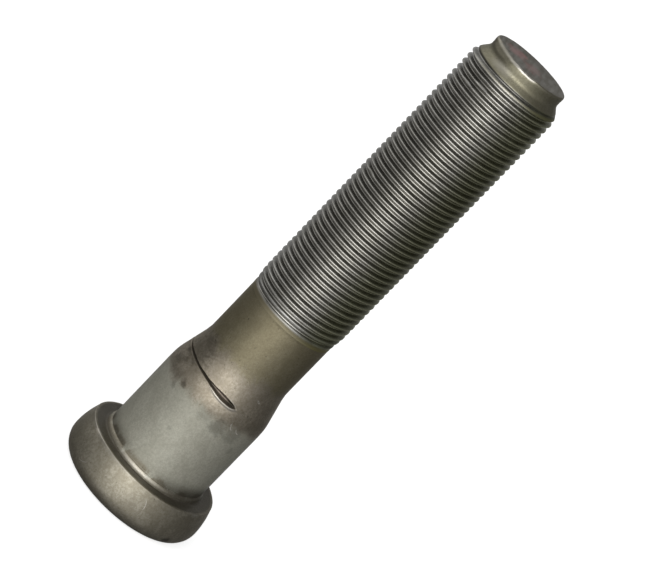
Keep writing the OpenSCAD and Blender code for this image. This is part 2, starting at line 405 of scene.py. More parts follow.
class BoltMesh:
    """Points, faces and painted masks."""

    def __init__(self):
        self.points, self.faces, self.kinds = [], [], []
        self.masks = {name: [] for name in MASKS}

    def add(self, direction, z, r, uneven=0.0, rub=1.0, **masks):
        """One point, after the forging's unevenness and the knocks, which wear its finish off."""
        place = on_bolt(direction, z, r)
        if uneven:
            wave = noise.noise(place / LUMPS) + RIPPLE_SHARE * noise.noise(place / RIPPLES) - 1.0
            place += outward(direction) * uneven * wave
        pressed = 0.0
        for knock in KNOCKS:
            if abs(z - knock.centre.z) < knock.reach:
                push = knock.press(place)
                place -= knock.normal * push
                pressed = max(pressed, push)
        masks["bare"] = max(masks.get("bare", 0.0), rub * min(1.0, pressed / BARE_DEPTH) ** 2)
        self.points.append(place * MM)
        for name in MASKS:
            self.masks[name].append(masks.get(name, 0.0))
        return len(self.points) - 1

    def face(self, corners, kind):
        """One face and the kind of surface that it belongs to."""
        self.faces.append(corners)
        self.kinds.append(kind)

    def band(self, low, high, kind):
        """Faces between two rings, one of which may have twice the other's points."""
        coarse, fine = sorted((low, high), key=len)
        step = len(fine) // len(coarse)
        for i, corner in enumerate(coarse):
            run = [fine[(i * step + k) % len(fine)] for k in range(step + 1)]
            corners = [corner, coarse[(i + 1) % len(coarse)]] + run[::-1]
            self.face(corners if coarse is low else corners[::-1], kind)

    def cap(self, ring, centre, kind, upward):
        """Fan of faces between a ring and its middle."""
        for i, a in enumerate(ring):
            b = ring[(i + 1) % len(ring)]
            self.face([a, b, centre] if upward else [b, a, centre], kind)

    def stack(self, kind, count, below, rows):
        """Rings one above another, joined to the ring below. A row makes a point's values."""
        for row in rows:
            ring = []
            for i in range(count):
                direction = 360.0 * i / count
                z, r, uneven, masks = row(direction)
                ring.append(self.add(direction, z, r, uneven, **masks))
            if below is not None:
                self.band(below, ring, kind)
            below = ring
        return below


ROOT_ROUND, CREST_ROUND = 0.144, 0.125  # radii of the thread's roots and crests, in pitches
LOW_RIDGE_ROUND, LOW_RIDGE_BLEND = 0.1, 0.12  # of the low ridges where the thread starts
CREST_SHARE = 0.09  # share of the groove's depth that counts as the ridge's crest
WEAR, WEAR_TURN = 0.02, 9.0  # unevenness of the rolled thread, in mm and in degrees
END_MARGIN = 0.06  # least height between the thread's points and the rings at its ends
SPARE_TURNS = 3  # turns that begin below the thread's start, where its points are left out


def thread_profile(bolt):
    """One pitch of the rolled thread from root to root: height, and share of the depth."""
    half, flank, steps = bolt.pitch / 2, 60.0, 3
    root_r, crest_r = bolt.pitch * ROOT_ROUND, bolt.pitch * CREST_ROUND
    turns = [math.radians(flank * i / steps) for i in range(steps + 1)]
    root = [(root_r * math.sin(a), bolt.groove - root_r * (1 - math.cos(a))) for a in turns]
    crest = [(half - crest_r * math.sin(a), crest_r * (1 - math.cos(a))) for a in turns[::-1]]
    middle = tuple((a + b) / 2 for a, b in zip(root[-1], crest[0]))
    rising = root + [middle] + crest
    falling = [(bolt.pitch - z, depth) for z, depth in rising[-2:0:-1]]
    return [(z, depth / bolt.groove) for z, depth in rising + falling]


def soft_min(a, b, blend):
    """Lesser of two heights, rounded off where they meet."""
    near = max(0.0, 1.0 - abs(a - b) / blend) if blend > 0 else 0.0
    return min(a, b) - near * near * blend / 4


def thread_radius(bolt, z, share):
    """Radius of the thread at a share of the groove's depth, and how far it is left as rolled.
    It runs out into the shank: the grooves sink in and the low ridges between them rise.
    A chamfer cuts its end."""
    up = z - bolt.thread_start
    shank = bolt.shank_d / 2
    unrisen = 1.0 - smooth(up / bolt.runout)
    begun = smooth(up / bolt.pitch)
    top = bolt.thread_d / 2
    ridge = top - (top - shank + LOW_RIDGE_ROUND * share * begun) * unrisen
    lifted = (shank - bolt.root_r) * (1.0 - smooth(up / bolt.groove_in))
    r = soft_min(ridge, top - share * bolt.groove + lifted, LOW_RIDGE_BLEND * unrisen * begun)
    chamfer = bolt.root_r + (bolt.thread_end - z) * math.tan(bolt.chamfer_angle)
    rolled = fade_in(up, start=0.7, over=0.6) * fade_out(r - chamfer, end=0.15, over=0.15)
    return min(r, chamfer), rolled


def thread_columns(mesh, bolt, count):
    """The thread's points, one column for each facet. Rows of all columns lie on one helix."""
    profile = thread_profile(bolt)
    to_front = ((270 - math.degrees(bolt.start_dir)) / 360) % 1
    start = bolt.thread_start + bolt.pitch * (to_front - SPARE_TURNS)
    turns = int((bolt.thread_end - start) / bolt.pitch) + 2
    lowest, highest = bolt.thread_start + END_MARGIN, bolt.thread_end - END_MARGIN
    columns = []
    for i in range(count):
        direction = 360.0 * i / count
        column = {}
        for row in range(turns * len(profile)):
            turn, corner = divmod(row, len(profile))
            up, share = profile[corner]
            z = start + bolt.pitch * (turn + i / count) + up
            if not lowest < z < highest:
                continue
            r, rolled = thread_radius(bolt, z, share)
            # Painted shade on the grooves' flanks
            flank = min(fade_in(share, start=0, over=0.5), fade_out(share, end=1.0, over=0.07))
            # Crests are rubbed bright and given a painted highlight, roots a painted highlight, in the
            # thread's material
            crest = smooth(1.0 - share / CREST_SHARE)
            root = fade_in(share, start=0.85, over=0.12)
            # Painted highlight on the last ridge's crest, facing -Y
            last_ridge = (hump(z, middle=bolt.thread_end - 1.2, reach=0.7)
                          * hump(wrapped(direction), middle=-5, reach=50))
            # Painted shade in the groove at the thread's end
            shaded_end = 1.3 * hump(z, middle=bolt.thread_end - 0.35, reach=0.45)
            worn = WEAR * noise.noise(Vector((z, direction / WEAR_TURN, 3.0)))
            column[row] = mesh.add(
                direction, z, r + worn * rolled, rub=0.5 * crest, rolled=rolled,
                bare=0.9 * crest * last_ridge,
                root=root * rolled * fade_out(z, end=bolt.thread_end - 0.5, over=0.5),
                crest=crest * fade_in(z, start=bolt.thread_start, over=bolt.runout) * rolled,
                grime=max(flank * rolled, shaded_end))
        columns.append(column)
    return columns, len(profile)


def weave_thread(mesh, bolt, foot, top):
    """The thread's faces, closed against the ring at its foot and the one at its top."""
    columns, turn = thread_columns(mesh, bolt, len(foot))
    for i, left in enumerate(columns):
        j = (i + 1) % len(columns)
        right = {row - (turn if j == 0 else 0): point for row, point in columns[j].items()}
        shared = sorted(set(left) & set(right))
        for low, high in zip(shared, shared[1:]):
            mesh.face([left[low], right[low], right[high], left[high]], THREAD)
        below = [[side[row] for row in sorted(side) if row <= shared[0]] for side in (left, right)]
        above = [[side[row] for row in sorted(side) if row >= shared[-1]] for side in (left, right)]
        mesh.face([foot[i], foot[j]] + below[1] + below[0][::-1], THREAD)
        mesh.face(above[0][:1] + above[1] + [top[j], top[i]] + above[0][:0:-1], THREAD)


# Rows of the mesh: what each ring of the bolt is like in every direction


HEAD_UNEVEN, SHANK_UNEVEN, SHOULDER_UNEVEN, POINT_UNEVEN = 0.035, 0.02, 0.008, 0.01  # in mm
SHOULDER_RINGS = (0.06, 0.7, 1.4, 2.1, 2.9, 3.8, 5.0)  # heights above the collar
EDGE_WEAR_AND_HIGHLIGHT = ((-75, 0.2), (-50, 1.0), (-10, 0.7), (12, 0.15), (60, 0.1))  # direction, share of the rubbed edge and its painted highlight
TORN_DOWN = ((-80, 0.0), (-62, 0.12), (-30, 0.26), (-12, 0.12), (10, 0.12),
             (19, 0.0))  # direction, how far the end edge is torn down in mm
TORN_IN = ((-82, 0.0), (-66, 0.85), (-48, 1.45), (-32, 1.15), (-19, 0.45), (-8, 0.15), (14, 0.08),
           (20, 0.0))  # direction, how far it leans in
# Direction, share of the torn edge's brightness: a burr rubbed bare and given a painted highlight
TORN_BRIGHT = ((-100, 0.1), (-60, 0.45), (-25, 0.6), (-10, 1.0), (12, 1.0), (20, 0.1))
# Direction, share of painted shade where the end leans in
TORN_SHADE = ((-92, 0.0), (-74, 0.62), (-34, 0.62), (-16, 0.0))
TORN_COARSE, TORN_FINE, TORN_MIX = 4.5, 14.0, 0.6  # how fine the torn edge's raggedness is
FACE_LUMPS, FACE_LUMP_H = 2.8, 0.05  # size and height of the end face's lumps, in mm
END_DISH = 0.2  # how deep the middle of the end face lies


def head_row(bolt, z, r):
    """A ring of the head. Painted shade darkens the under-face, the corner between under-face and collar,
    and the head's bottom, and towards
    +X a painted shadow covers the collar. Painted highlights lie on the collar's front and along the
    under-face's rubbed edge."""
    edge = bolt.head_edge_d / 2
    up_collar = (z - bolt.head_h) / bolt.collar_h
    # Painted shade over the under-face ring and into the corner at the collar
    in_ring = fade_out(r, end=edge - 0.2, over=0.3) if z > bolt.head_h - 0.03 else 0.0
    in_ring *= 0.9 - 0.9 * fade_in(up_collar, start=0.08, over=0.2)
    # Painted shade towards the head's bottom, where it stands
    under = 0.5 * fade_out(z, end=1.6, over=1.2)
    uneven = HEAD_UNEVEN * fade_in(z, start=0, over=2.0) * fade_out(z, end=bolt.head_h, over=1.0)
    # The under-face's edge: rubbed bare and given a painted highlight, strongest towards -Y and -X
    at_edge = 0.7 * hump(r - edge, middle=-0.06, reach=0.1)
    at_edge *= fade_in(z, start=bolt.head_h - 1.0, over=1.0)

    def row(direction):
        turned = wrapped(direction)
        # Painted highlight on the collar's front
        front = 0.45 * hump(up_collar, middle=0.5, reach=0.5) * hump(turned, middle=-4, reach=45)
        # Thin painted highlight low on the collar towards -X
        thin = 0.3 * hump(up_collar, middle=0.15, reach=0.15) * hump(turned, middle=-60, reach=35)
        # Painted shadow over the collar towards +X
        shadowed = 0.72 * fade_in(up_collar, start=0, over=0.2) * fade_in(turned, start=14, over=34)
        return z, r, uneven, {"grime": max(in_ring, under, shadowed),
                              "bare": max(front, thin, at_edge * through(EDGE_WEAR_AND_HIGHLIGHT, turned))}
    return row


def shoulder_row(bolt, z):
    """A ring of the shoulder, with painted shade at its foot away from the front, and a painted shadow
    there towards +X.
    """
    # Painted shade at the shoulder's foot
    foot = 0.75 * fade_out(z, end=bolt.head_h + 4.6, over=3.6)
    # Painted shadow at the foot towards +X
    shadowed = 0.92 * fade_out(z, end=bolt.head_h + 5.2, over=3.4)

    def row(direction):
        aside = fade_in(abs(wrapped(direction + 6)), start=12, over=30)
        right = fade_in(wrapped(direction), start=18, over=34)
        return z, bolt.taper_radius(z), SHOULDER_UNEVEN, {"grime": max(foot * aside, shadowed * right)}
    return row


def slit_row(bolt, t):
    """A ring of the taper, on row t of the slit."""
    def row(direction):
        z, r, masks = slit_point(bolt, direction, t)
        return z, r, SHANK_UNEVEN * (1.0 - masks["scale"]), masks
    return row


def shank_row(bolt, z):
    """A ring of the plain shank."""
    return lambda direction: (z, bolt.taper_radius(z), SHANK_UNEVEN, {})


def point_row(bolt, z, r):
    """A ring of the guide point. Cropping has torn its end edge down on the side of -Y, and has
    left it leaning in towards -X."""
    rim, below = bolt.point_d / 2, bolt.length - z
    on_face = z == bolt.length and r < rim - 0.5
    near_end = fade_out(below, end=2.4, over=2.4)
    lean = max(0.0, 1.0 - below / 1.3)
    # Painted highlight: a light patch on the neck above the thread's end, facing -Y and -X
    neck = 0.35 * hump(z, middle=bolt.thread_end + 1.1, reach=1.3)
    flare = 0.05 * hump(below, middle=0.7, reach=0.7) if r > rim - 0.5 else 0.0
    inner = fade_in(r, start=rim - 3.0, over=2.8)
    dish = 0.16 * fade_out(r, end=rim - 0.9, over=2.5)
    on_edge = hump(r - rim, middle=-0.1, reach=0.5) * fade_out(below, end=0.5, over=0.2)
    # Painted shade near the end, kept off its edge
    low_shade = fade_out(below, end=2.4, over=1.0) * (1.0 - on_edge)

    def row(direction):
        turned = wrapped(direction)
        out = outward(direction)
        ragged = noise.noise(out * TORN_COARSE) + TORN_MIX * noise.noise(out * TORN_FINE)
        chip = through(TORN_DOWN, turned)
        down = near_end * inner * max(0.0, chip + (0.05 + 0.5 * chip) * ragged)
        kept = 1.0 - lean * (through(TORN_IN, turned) + 0.25 * chip * ragged) / rim
        if on_face:
            lump = noise.noise(on_bolt(direction, 1.8, r) / FACE_LUMPS)
            down += dish + FACE_LUMP_H * (1.0 + lump)
        # Torn edge: rubbed burr with a painted highlight; neck: painted highlight
        bare = max(on_edge * through(TORN_BRIGHT, turned),
                   neck * hump(turned, middle=-27, reach=26))
        # Painted shade on the side that leans in
        dark = 0.0 if on_face else low_shade * through(TORN_SHADE, turned)
        return z - down, (r + flare) * kept, POINT_UNEVEN, {"bare": bare, "grime": dark}
    return row


def build_bolt(bolt):
    """The whole bolt as one closed mesh."""
    mesh = BoltMesh()
    coarse, fine = bolt.facets, bolt.facets * 2
    head = bolt.head()
    first = mesh.stack(FORGED, fine, None, [head_row(bolt, *head[0])])
    mesh.cap(first, mesh.add(0, 0, 0), FORGED, upward=False)
    below = mesh.stack(FORGED, fine, first, [head_row(bolt, z, r) for z, r in head[1:]])
    slit_low, slit_high = (bolt.slit_z + t for t in (SLIT_ROWS[0], SLIT_ROWS[-1]))
    shoulder = [head[-1][0] + up for up in SHOULDER_RINGS]
    shoulder += evenly(shoulder[-1], slit_low, steps=7)[:-1]
    below = mesh.stack(FORGED, fine, below, [shoulder_row(bolt, z) for z in shoulder])
    below = mesh.stack(FORGED, fine, below, [slit_row(bolt, t) for t in SLIT_ROWS])
    shank = evenly(slit_high, bolt.thread_start - 0.6, steps=9)
    below = mesh.stack(FORGED, fine, below, [shank_row(bolt, z) for z in shank])
    foot = mesh.stack(FORGED, coarse, below, [shank_row(bolt, bolt.thread_start)])
    top = mesh.stack(FORGED, coarse, None, [lambda d: (bolt.thread_end, bolt.root_r, 0.0, {})])
    weave_thread(mesh, bolt, foot, top)
    point = bolt.point()
    side = [row for row in point if row[1] > bolt.point_d / 2 - bolt.point_edge_r]
    face = point[len(side):]
    below = mesh.stack(FORGED, fine, top, [point_row(bolt, z, r) for z, r in side])
    below = mesh.stack(END, fine, below, [point_row(bolt, z, r) for z, r in face])
    mesh.cap(below, mesh.add(0, bolt.length - END_DISH, 0), END, upward=True)
    return mesh


# Nodes


FLOAT, VECTOR = "NodeSocketFloat", "NodeSocketVector"


class Nodes:
    """Short ways to add and link nodes in one tree."""

    def __init__(self, tree):
        self.tree = tree
        self.tree.nodes.clear()

    def add(self, kind, inputs=None, **settings):
        """A node with its settings, and inputs that are values or other nodes' outputs."""
        node = self.tree.nodes.new(kind)
        for key, value in settings.items():
            setattr(node, key, value)
        for key, value in (inputs or {}).items():
            self.plug(node.inputs[key], value)
        return node

    def plug(self, socket, value):
        """Link an output to a socket, or set the socket's own value."""
        if isinstance(value, bpy.types.NodeSocket):
            self.tree.links.new(value, socket)
        elif socket.type == "RGBA":
            socket.default_value = (*value, 1.0)
        else:
            socket.default_value = value

    def math(self, operation, a, b=0.0, clamp=False):
        """Result of one sum on two numbers."""
        return self.add("ShaderNodeMath", {0: a, 1: b}, operation=operation,
                        use_clamp=clamp).outputs[0]

    def times(self, a, b):
        """Product of two numbers."""
        return self.math("MULTIPLY", a, b)

    def plus(self, a, b):
        """Sum of two numbers."""
        return self.math("ADD", a, b)

    def mix(self, share, a, b, blend="MIX"):
        """Blend of two colours."""
        return self.add("ShaderNodeMix", {0: share, 6: a, 7: b}, data_type="RGBA",
                        blend_type=blend).outputs[2]

    def tinted(self, base, tint):
        """A colour darkened by a tint."""
        return self.mix(1.0, base, tint, "MULTIPLY")

    def layered(self, base, *layers):
        """Colours laid over a base one after another, each given as (share, colour)."""
        for share, tone in layers:
            base = self.mix(share, base, tone)
        return base

    def remap(self, value, low, high, to_low=0.0, to_high=1.0):
        """Value moved smoothly from one range to another, and kept inside it."""
        return self.add("ShaderNodeMapRange", {"Value": value, "From Min": low, "From Max": high,
                                               "To Min": to_low, "To Max": to_high},
                        interpolation_type="SMOOTHSTEP").outputs["Result"]

    def noise(self, place, scale, detail=3.0, rough=0.5, warp=0.0):
        """Cloudy noise from 0 to 1."""
        return self.add("ShaderNodeTexNoise", {"Vector": place, "Scale": scale, "Detail": detail,
                                               "Roughness": rough, "Distortion": warp}
                        ).outputs["Fac"]

    def place(self):
        """Place in the bolt's own frame, in metres."""
        return self.add("ShaderNodeTexCoord").outputs["Object"]

    def distance(self, centre):
        """How far a place is from a centre, in metres."""
        return self.add("ShaderNodeVectorMath", {0: self.place(), 1: centre},
                        operation="DISTANCE").outputs["Value"]

    def mask(self, name):
        """One of the masks painted on the mesh."""
        return self.add("ShaderNodeAttribute", attribute_name=name).outputs["Fac"]

    def strongest(self, *values):
        """Largest of several masks."""
        result = values[0]
        for value in values[1:]:
            result = self.math("MAXIMUM", result, value)
        return result


def new_group(name, inputs, outputs):
    """An empty shader node group with named sockets."""
    group = bpy.data.node_groups.new(name, "ShaderNodeTree")
    for label, kind, value in inputs:
        socket = group.interface.new_socket(label, in_out="INPUT", socket_type=kind)
        socket.default_value = value
    for label in outputs:
        group.interface.new_socket(label, in_out="OUTPUT", socket_type=FLOAT)
    nodes = Nodes(group)
    return group, nodes, nodes.add("NodeGroupInput").outputs


def mottle_group():
    """Cloudy patches, fine grain and dark pits of phosphated, oiled steel. Sizes in mm."""
    group, n, given = new_group(
        "Phosphate mottle",
        [("Patch size", FLOAT, 5.0), ("Grain size", FLOAT, 0.25), ("Stretch", FLOAT, 1.0)],
        ["Patches", "Grain", "Pits"])
    scale = n.add("ShaderNodeCombineXYZ", {0: 1.0, 1: 1.0, 2: given["Stretch"]}).outputs[0]
    place = n.add("ShaderNodeVectorMath", {0: n.place(), 1: scale}, operation="MULTIPLY").outputs[0]
    patch_scale = n.math("DIVIDE", 1 / MM, given["Patch size"])
    grain_scale = n.math("DIVIDE", 1 / MM, given["Grain size"])
    patches = n.noise(place, patch_scale, detail=4.0, rough=0.6, warp=0.8)
    grain = n.noise(place, grain_scale, detail=2.0, rough=0.6)
    pits = n.noise(place, n.times(grain_scale, 0.45), detail=2.0, rough=0.6)
    n.add("NodeGroupOutput", {"Patches": n.remap(patches, 0.32, 0.68), "Grain": grain,
                              "Pits": n.remap(pits, 0.66, 0.74)})
    return group


def scratch_group():
    """Fine scratches that lie mostly round the bolt. Counts are per turn and per mm."""
    group, n, given = new_group(
        "Handling scratches",
        [("Round", FLOAT, 8.0), ("Along", FLOAT, 1.0), ("Amount", FLOAT, 0.5)],
        ["Scratches"])
    part = n.add("ShaderNodeSeparateXYZ", {0: n.place()}).outputs
    turn = n.math("ARCTAN2", part[0], n.times(part[1], -1.0))
    up = n.times(part[2], 1 / MM)
    flat = n.add("ShaderNodeCombineXYZ", {0: n.times(turn, given["Round"]),
                                          1: n.times(up, given["Along"])}).outputs[0]
    lines = n.noise(flat, 1.0, detail=3.0, rough=0.6, warp=0.3)
    thin = n.remap(n.math("ABSOLUTE", n.math("SUBTRACT", lines, 0.5)), 0.014, 0.0)
    where = n.remap(n.noise(n.place(), 170.0, detail=2.0), 0.5, 0.62)
    n.add("NodeGroupOutput", {"Scratches": n.times(n.times(thin, where), given["Amount"])})
    return group


def spot_group():
    """Cloudy spot round a place. Its radius is in metres."""
    group, n, given = new_group(
        "Stain spot",
        [("Centre", VECTOR, (0.0, 0.0, 0.0)), ("Radius", FLOAT, MM), ("Raggedness", FLOAT, 0.5)],
        ["Spot"])
    away = n.distance(given["Centre"])
    ragged = n.math("SUBTRACT", n.noise(n.place(), 900.0, detail=3.0, rough=0.6), 0.5)
    edge = n.times(n.times(ragged, given["Raggedness"]), 3.0)
    share = n.plus(n.math("DIVIDE", away, given["Radius"]), edge)
    n.add("NodeGroupOutput", {"Spot": n.remap(share, 1.0, 0.3)})
    return group


def arc_scratch_group():
    """One curved scratch: a thin arc round a centre, kept to the reach of a second place."""
    group, n, given = new_group(
        "Arc scratch",
        [("Centre", VECTOR, (0.0, 0.0, 0.0)), ("Radius", FLOAT, MM), ("Width", FLOAT, 0.1 * MM),
         ("Middle", VECTOR, (0.0, 0.0, 0.0)), ("Reach", FLOAT, MM)],
        ["Scratch"])
    off = n.math("ABSOLUTE", n.math("SUBTRACT", n.distance(given["Centre"]), given["Radius"]))
    thin = n.remap(n.math("DIVIDE", off, given["Width"]), 1.0, 0.3)
    near = n.remap(n.math("DIVIDE", n.distance(given["Middle"]), given["Reach"]), 1.0, 0.5)
    n.add("NodeGroupOutput", {"Scratch": n.times(thin, near)})
    return group


# Materials


SMUDGES = (
    # direction, height and radius on the bolt, size, strength: in degrees and mm
    (-30, 30.0, 12.5, 1.15, 0.75), (-38, 28.2, 12.5, 1.0, 0.5), (-60, 31.8, 12.2, 2.2, 0.6),
    (-61, 34.85, 11.35, 1.6, 0.9), (-50, 36.9, 11.1, 5.5, 0.75), (55, 25.0, 12.5, 1.2, 0.35),
    (-9, 21.5, 12.5, 0.8, 0.3), (6, 29.3, 12.5, 2.6, 0.35), (24, 28.6, 12.5, 2.8, 0.6),
    (42, 28.4, 12.5, 2.6, 0.45), (33, 32.2, 12.0, 2.0, 0.3), (53, 2.1, 16.7, 1.3, 1.0),
    (-30, 11.8, 12.6, 2.0, 0.15), (120, 18.0, 12.5, 2.4, 0.5), (-140, 24.0, 12.5, 2.8, 0.5),
    (170, 6.0, 16.8, 2.6, 0.5))
ARC_SCRATCHES = (
    # direction, height and radius of the middle, turn of the curve, its radius, width, reach
    (33.5, 30.1, 12.5, 35, 1.6, 0.16, 1.1), (43.0, 29.6, 12.5, 55, 1.5, 0.15, 1.0),
    (19.0, 7.1, 16.9, -160, 2.6, 0.10, 1.3), (43.0, 37.3, 11.1, 60, 1.2, 0.22, 0.7),
    (-36.0, 3.6, 17.2, 120, 3.0, 0.10, 1.6), (150.0, 24.0, 12.5, 20, 2.4, 0.14, 1.8))
STAINS = (
    # x, y and size on the end face in mm, strength
    (-4.0, 0.9, 3.1, 1.0), (-3.3, 3.0, 2.4, 1.0), (-4.6, -1.2, 2.0, 0.8),
    (0.3, -0.5, 3.0, 0.6), (0.3, -3.2, 2.2, 0.45), (0.9, 1.8, 2.0, 0.45))


BODY_TINT, THREAD_TINT, END_TINT = (0.58, 0.56, 0.52), (0.58, 0.575, 0.54), (0.5, 0.48, 0.46)
SIDE_SHADE_TINT = (0.97, 1.0, 0.74)  # painted shade, with an olive tint, on the thread's side towards +X
OILY_HEIGHT = 87.0  # height at which the thread is darkest with oil
BORDER_WANDER = 0.9  # how far the borders between the finishes wander up and down, in mm
# The second and third strengths are of painted shade, on the body and in the thread's grooves
SMUDGE_COVER, SHADE_COVER, GROOVE_COVER, STAIN_COVER = 0.7, 0.92, 0.58, 0.8  # strengths
# The last of these is the strength of the painted highlight on the thread's roots
ARC_COVER, SCRATCH_COVER, ROOT_HIGHLIGHT = 0.8, 0.35, 0.3
SCALE_DULL, SHADE_DULL = 0.8, 0.7  # how far scale and the painted shade take away the gloss
RUB_GLOSS, ROOT_GLOSS, CREST_DULL = 0.14, 0.09, 0.07  # what they take from or add to roughness
THREAD_METAL, END_METAL = 0.95, 0.75  # how metallic these surfaces look


class SteelKit:
    """The finish's values and the shared groups, from which each material is built."""

    def __init__(self, look, bolt):
        self.look, self.bolt = look, bolt
        self.mottle = mottle_group()
        self.scratches = scratch_group()
        self.spot = spot_group()
        self.arc_scratch = arc_scratch_group()

    def material(self, name):
        """A new material and its nodes."""
        made = bpy.data.materials.new(name)
        made.use_nodes = True
        return made, Nodes(made.node_tree)

    def use(self, n, group, **values):
        """One of the shared groups with its own values."""
        node = n.add("ShaderNodeGroup", node_tree=group)
        for key, value in values.items():
            node.inputs[key.replace("_", " ").capitalize()].default_value = value
        return node.outputs

    def height(self, n):
        """Height above the head's end in millimetres."""
        return n.times(n.add("ShaderNodeSeparateXYZ", {0: n.place()}).outputs[2], 1 / MM)

    def smudges(self, n):
        """Dark smudges on the shoulder and head."""
        return n.strongest(*(
            n.times(strength, self.use(n, self.spot, centre=on_bolt(direction, z, r) * MM,
                                       radius=size * MM)["Spot"])
            for direction, z, r, size, strength in SMUDGES))

    def arc_scratches(self, n):
        """The few bright curved scratches."""
        marks = []
        for direction, z, r, turn, radius, width, reach in ARC_SCRATCHES:
            middle = on_bolt(direction, z, r)
            sideways = outward(direction + 90)
            off = (sideways * math.cos(math.radians(turn))
                   + Vector((0, 0, math.sin(math.radians(turn)))))
            marks.append(self.use(n, self.arc_scratch, centre=(middle + off * radius) * MM,
                                  radius=radius * MM, width=width * MM, middle=middle * MM,
                                  reach=reach * MM)["Scratch"])
        return n.strongest(*marks)

    def shade(self, n, base, rough, metal, relief, relief_height):
        """The shader itself, with a bump from relief. A uniform metal is set on the socket."""
        bump = n.add("ShaderNodeBump", {"Height": relief, "Distance": relief_height * MM})
        shader = n.add("ShaderNodeBsdfPrincipled", {
            "Base Color": base, "Roughness": rough, "Metallic": metal,
            "Normal": bump.outputs["Normal"]})
        n.add("ShaderNodeOutputMaterial", {"Surface": shader.outputs["BSDF"]})


def body_steel(kit):
    """Head, shoulder, taper, shank and guide point, which shade into one another."""
    look, bolt = kit.look, kit.bolt
    made, n = kit.material("phosphated_steel")
    mottle = kit.use(n, kit.mottle, patch_size=4.2, grain_size=0.24, stretch=0.8)
    fleck = kit.use(n, kit.mottle, patch_size=1.3, grain_size=0.55, stretch=1.0)["Grain"]
    scratches = kit.use(n, kit.scratches, round=14.0, along=3.0, amount=0.6)["Scratches"]
    arcs, smudges = kit.arc_scratches(n), kit.smudges(n)
    wander = n.remap(mottle["Patches"], 0.0, 1.0, -BORDER_WANDER, BORDER_WANDER)
    z = n.plus(kit.height(n), wander)
    on_shoulder = n.remap(z, bolt.head_h + 0.7, bolt.head_h + 2.0)
    on_taper = n.remap(z, bolt.shoulder_top - 1.5, bolt.shoulder_top + 1.9)
    on_shank = n.remap(z, bolt.slit_z + 4.6, bolt.slit_z + 8.0)
    on_point = n.remap(z, *bolt.point_border)
    base = n.layered(look.head_colour, (on_shoulder, look.shoulder_colour),
                     (on_taper, look.taper_colour), (on_shank, look.shank_colour),
                     (on_point, look.point_colour))
    ground = n.times(on_shoulder, n.math("SUBTRACT", 1.0, on_taper))
    rugged = n.remap(n.strongest(ground, on_shank), 0.0, 1.0, 0.55, 0.28)
    clouds = n.times(n.remap(mottle["Patches"], 0.0, 1.0, 1.0, 0.0), rugged)
    flecks = n.times(n.remap(fleck, 0.4, 0.62), rugged)
    grains = n.remap(mottle["Grain"], 0.35, 0.65, 0.0, 0.3)
    pitted = n.times(mottle["Pits"], n.remap(ground, 0.0, 1.0, 0.55, 0.2))
    scale, grime = n.mask("scale"), n.mask("grime")
    bright = n.strongest(n.mask("bare"), n.times(arcs, ARC_COVER),
                         n.times(scratches, SCRATCH_COVER))
    darker = n.tinted(base, BODY_TINT)
    # Layers: random tone, pits, smudges, rubbed steel with painted highlights, scale, and last painted
    # shade
    base = n.layered(base, (clouds, darker), (flecks, darker), (grains, darker),
                     (pitted, look.dirt_and_shade_colour),
                     (n.times(smudges, SMUDGE_COVER), look.dirt_and_shade_colour),
                     (bright, look.bright_colour), (scale, look.scale_colour),
                     (n.times(grime, SHADE_COVER), look.dirt_and_shade_colour))
    dull = n.strongest(n.times(scale, SCALE_DULL), n.times(grime, SHADE_DULL), ground)
    rough = n.remap(dull, 0.0, 1.0, look.forged_rough, look.shoulder_rough)
    rough = n.plus(rough, n.remap(mottle["Grain"], 0.3, 0.7, -0.05, 0.07))
    rough = n.math("SUBTRACT", rough, n.times(bright, RUB_GLOSS), clamp=True)
    metal = n.remap(dull, 0.0, 1.0, 0.92, 0.55)
    marks = n.strongest(scratches, arcs, mottle["Pits"])
    relief = n.plus(n.times(mottle["Grain"], 0.7), n.times(marks, -0.8))
    relief = n.plus(relief, n.times(fleck, rugged))
    kit.shade(n, base, rough, metal, relief, relief_height=0.016)
    return made


